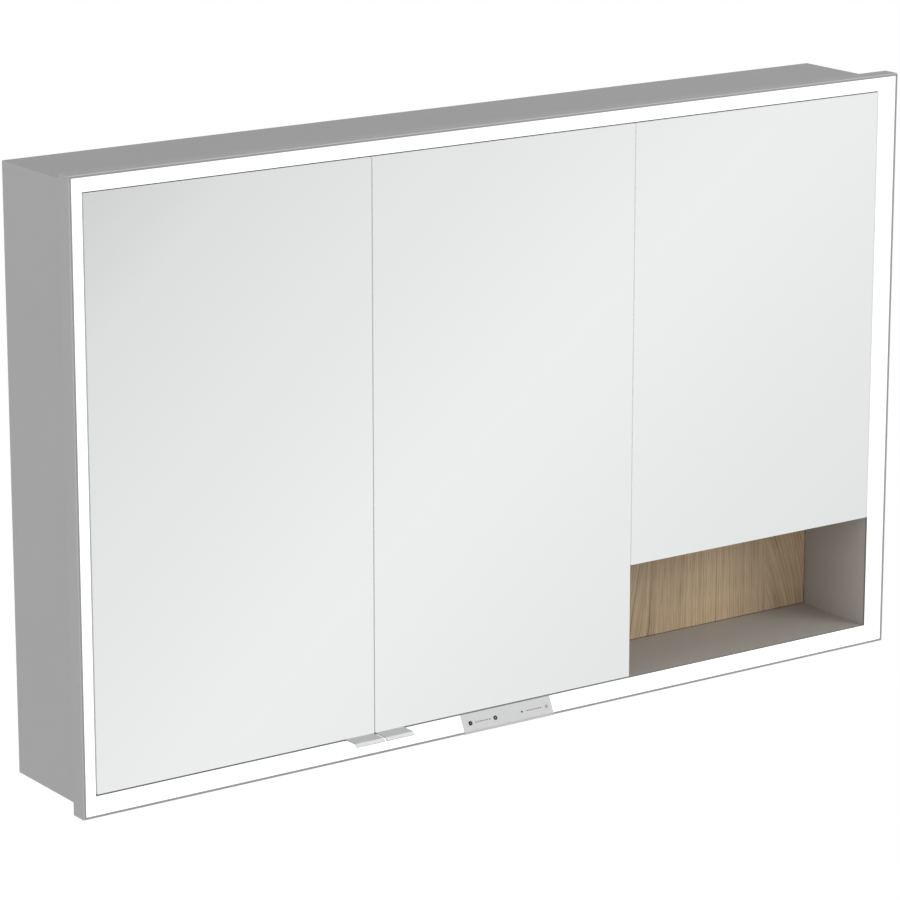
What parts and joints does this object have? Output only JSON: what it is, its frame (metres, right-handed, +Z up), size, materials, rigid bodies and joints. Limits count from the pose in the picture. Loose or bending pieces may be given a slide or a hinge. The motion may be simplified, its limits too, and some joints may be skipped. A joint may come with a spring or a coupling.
{
  "type": "recessed mirror cabinet",
  "caption": "Wall-recessed bathroom mirror cabinet with a lit bevelled frame, hinged mirror doors, glass shelves and an open oak-backed niche.",
  "frame": {"origin": "centre of the back panel's rear face, at the middle of the wall-screw pattern", "axes": "+X to the right seen from the front, +Y back into the wall, +Z up"},
  "size_m": [1.2, 0.1822, 0.75],
  "materials": {
    "frame_metal": "satin anodised",
    "opal_diffuser": "satin opal, lit from behind",
    "led_strip": "white flexible board",
    "bracket_steel": "zinc plated",
    "control_fascia": "satin light grey",
    "control_plastic": "moulded grey",
    "touch_mark": "printed black",
    "circuit": "solder mask",
    "carcass_grey": "smooth grey lacquer over board",
    "niche_taupe": "matt taupe laminate",
    "oak": "oiled oak veneer",
    "shelf_glass": "clear, ground edges",
    "peg_metal": "bright",
    "bumper_rubber": "soft translucent",
    "driver_plastic": "moulded white",
    "grommet_rubber": "matt black",
    "seal_rubber": "matt dark grey",
    "hinge_steel": "nickel plated",
    "hinge_cup": "nickel plated",
    "hinge_pin": "ground steel",
    "mirror": "silvered glass",
    "door_core": "board with a grey metallic edge",
    "handle_metal": "satin anodised"
  },
  "bodies": {
    "cabinet": {"frame_bottom_profile": "frame_metal", "frame_left_profile": "frame_metal", "frame_top_profile": "frame_metal", "frame_right_profile": "frame_metal", "light_guide_top": "opal_diffuser", "light_guide_left": "opal_diffuser", "light_guide_right": "opal_diffuser", "light_guide_bottom_left": "opal_diffuser", "light_guide_bottom_right": "opal_diffuser", "led_strips": "led_strip", "frame_corner_keys": "bracket_steel", "corner_brackets": "bracket_steel", "wall_washers": "bracket_steel", "control_fascia": "control_fascia", "control_housing": "control_plastic", "touch_keys": "touch_mark", "control_circuit_board": "circuit", "left_side_panel": "carcass_grey", "right_side_panel": "carcass_grey", "top_panel": "carcass_grey", "bottom_panel": "carcass_grey", "back_panel": "carcass_grey", "middle_divider": "carcass_grey", "right_partition": "carcass_grey", "niche_floor_liner": "niche_taupe", "niche_right_liner": "niche_taupe", "niche_left_liner": "niche_taupe", "niche_ceiling": "niche_taupe", "niche_back_panel": "oak", "left_lower_shelf": "shelf_glass", "left_upper_shelf": "shelf_glass", "centre_lower_shelf": "shelf_glass", "centre_upper_shelf": "shelf_glass", "right_shelf": "shelf_glass", "shelf_pegs": "peg_metal", "door_bumpers": "bumper_rubber", "led_driver": "driver_plastic", "cable_grommet": "grommet_rubber", "door_seal": "seal_rubber", "left_hinge_arms": "hinge_steel", "centre_hinge_arms": "hinge_steel", "right_hinge_arms": "hinge_steel", "hinge_screws": "hinge_steel"},
    "left_door": {"left_door_mirror": "mirror", "left_door_core": "door_core", "left_door_rear_mirror": "mirror", "left_door_hinge_cups": "hinge_cup", "left_door_hinge_pins": "hinge_pin", "left_door_handle": "handle_metal"},
    "centre_door": {"centre_door_mirror": "mirror", "centre_door_core": "door_core", "centre_door_rear_mirror": "mirror", "centre_door_hinge_cups": "hinge_cup", "centre_door_hinge_pins": "hinge_pin", "centre_door_handle": "handle_metal"},
    "right_door": {"right_door_mirror": "mirror", "right_door_core": "door_core", "right_door_rear_mirror": "mirror", "right_door_hinge_cups": "hinge_cup", "right_door_hinge_pins": "hinge_pin"}
  },
  "joints": [
    {"name": "left_door_hinge", "type": "hinge", "parent": "cabinet", "child": "left_door", "pos_m": [-0.55, -0.1495, 0], "axis": [0, 0, -1], "range_deg": [0, 100]},
    {"name": "centre_door_hinge", "type": "hinge", "parent": "cabinet", "child": "centre_door", "pos_m": [0.16543, -0.1495, 0], "axis": [0, 0, 1], "range_deg": [0, 100]},
    {"name": "right_door_hinge", "type": "hinge", "parent": "cabinet", "child": "right_door", "pos_m": [0.55, -0.1495, 0], "axis": [0, 0, 1], "range_deg": [0, 100]}
  ]
}
